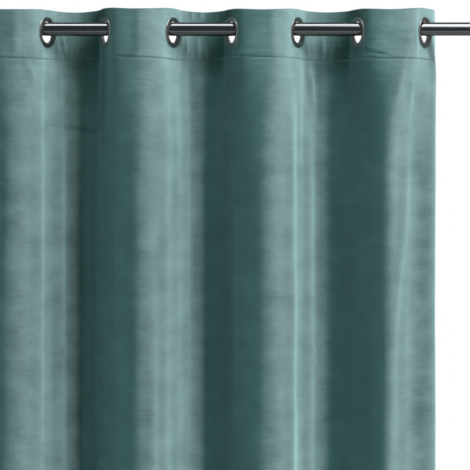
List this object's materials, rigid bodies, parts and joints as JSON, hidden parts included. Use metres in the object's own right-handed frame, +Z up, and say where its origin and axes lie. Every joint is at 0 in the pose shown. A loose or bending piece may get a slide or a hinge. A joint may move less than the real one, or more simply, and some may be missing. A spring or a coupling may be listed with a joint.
{
  "type": "velvet eyelet curtain on a round rod",
  "caption": "Teal velvet curtain panel with metal eyelets in a doubled heading, hanging in uneven folds from a plain round dark metal rod.",
  "frame": {"origin": "middle of the rod's length, on the rod's axis, where brackets hold the rod up", "axes": "+X along the rod to the viewer's right, -Y towards the room and the viewer, +Z up; the cloth hangs down -Z"},
  "size_m": [1.2, 0.1342, 2.6016],
  "materials": {
    "velvet": "teal polyester velvet with a short pile",
    "eyelet_metal": "polished nickel plate",
    "rod_metal": "polished black nickel plate"
  },
  "bodies": {
    "root": {"rod": "rod_metal", "heading": "velvet", "curtain_panel": "velvet", "eyelet_front_1": "eyelet_metal", "eyelet_front_2": "eyelet_metal", "eyelet_front_3": "eyelet_metal", "eyelet_front_4": "eyelet_metal", "eyelet_front_5": "eyelet_metal", "eyelet_front_6": "eyelet_metal", "eyelet_front_7": "eyelet_metal", "eyelet_front_8": "eyelet_metal", "eyelet_washer_1": "eyelet_metal", "eyelet_washer_2": "eyelet_metal", "eyelet_washer_3": "eyelet_metal", "eyelet_washer_4": "eyelet_metal", "eyelet_washer_5": "eyelet_metal", "eyelet_washer_6": "eyelet_metal", "eyelet_washer_7": "eyelet_metal", "eyelet_washer_8": "eyelet_metal"}
  },
  "joints": []
}
